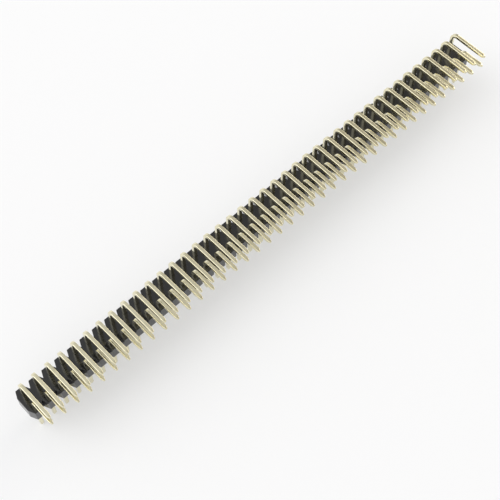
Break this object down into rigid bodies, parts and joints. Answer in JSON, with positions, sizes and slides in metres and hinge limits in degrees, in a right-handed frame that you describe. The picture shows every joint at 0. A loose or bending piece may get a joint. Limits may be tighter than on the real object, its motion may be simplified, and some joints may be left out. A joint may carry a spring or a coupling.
{
  "type": "right-angle pin header strip",
  "caption": "Straight row of paired square contacts bent at a right angle, held in a black break-away insulator strip, for soldering to a board edge.",
  "frame": {"origin": "centre of the pin grid in the insulator's mating face", "axes": "+X along the strip, -Y towards the circuit board that the tails enter, +Z from the mating side to the back, from which the tails leave; the mating pins point along -Z"},
  "size_m": [0.1016, 0.0087, 0.0121],
  "materials": {
    "insulator": "black moulded glass-filled plastic, low sheen",
    "contacts": "brass wire with a pale warm plating, satin"
  },
  "bodies": {
    "root": {"insulator": "insulator", "contact_pair_01": "contacts", "contact_pair_02": "contacts", "contact_pair_03": "contacts", "contact_pair_04": "contacts", "contact_pair_05": "contacts", "contact_pair_06": "contacts", "contact_pair_07": "contacts", "contact_pair_08": "contacts", "contact_pair_09": "contacts", "contact_pair_10": "contacts", "contact_pair_11": "contacts", "contact_pair_12": "contacts", "contact_pair_13": "contacts", "contact_pair_14": "contacts", "contact_pair_15": "contacts", "contact_pair_16": "contacts", "contact_pair_17": "contacts", "contact_pair_18": "contacts", "contact_pair_19": "contacts", "contact_pair_20": "contacts", "contact_pair_21": "contacts", "contact_pair_22": "contacts", "contact_pair_23": "contacts", "contact_pair_24": "contacts", "contact_pair_25": "contacts", "contact_pair_26": "contacts", "contact_pair_27": "contacts", "contact_pair_28": "contacts", "contact_pair_29": "contacts", "contact_pair_30": "contacts", "contact_pair_31": "contacts", "contact_pair_32": "contacts", "contact_pair_33": "contacts", "contact_pair_34": "contacts", "contact_pair_35": "contacts", "contact_pair_36": "contacts", "contact_pair_37": "contacts", "contact_pair_38": "contacts", "contact_pair_39": "contacts", "contact_pair_40": "contacts"}
  },
  "joints": []
}
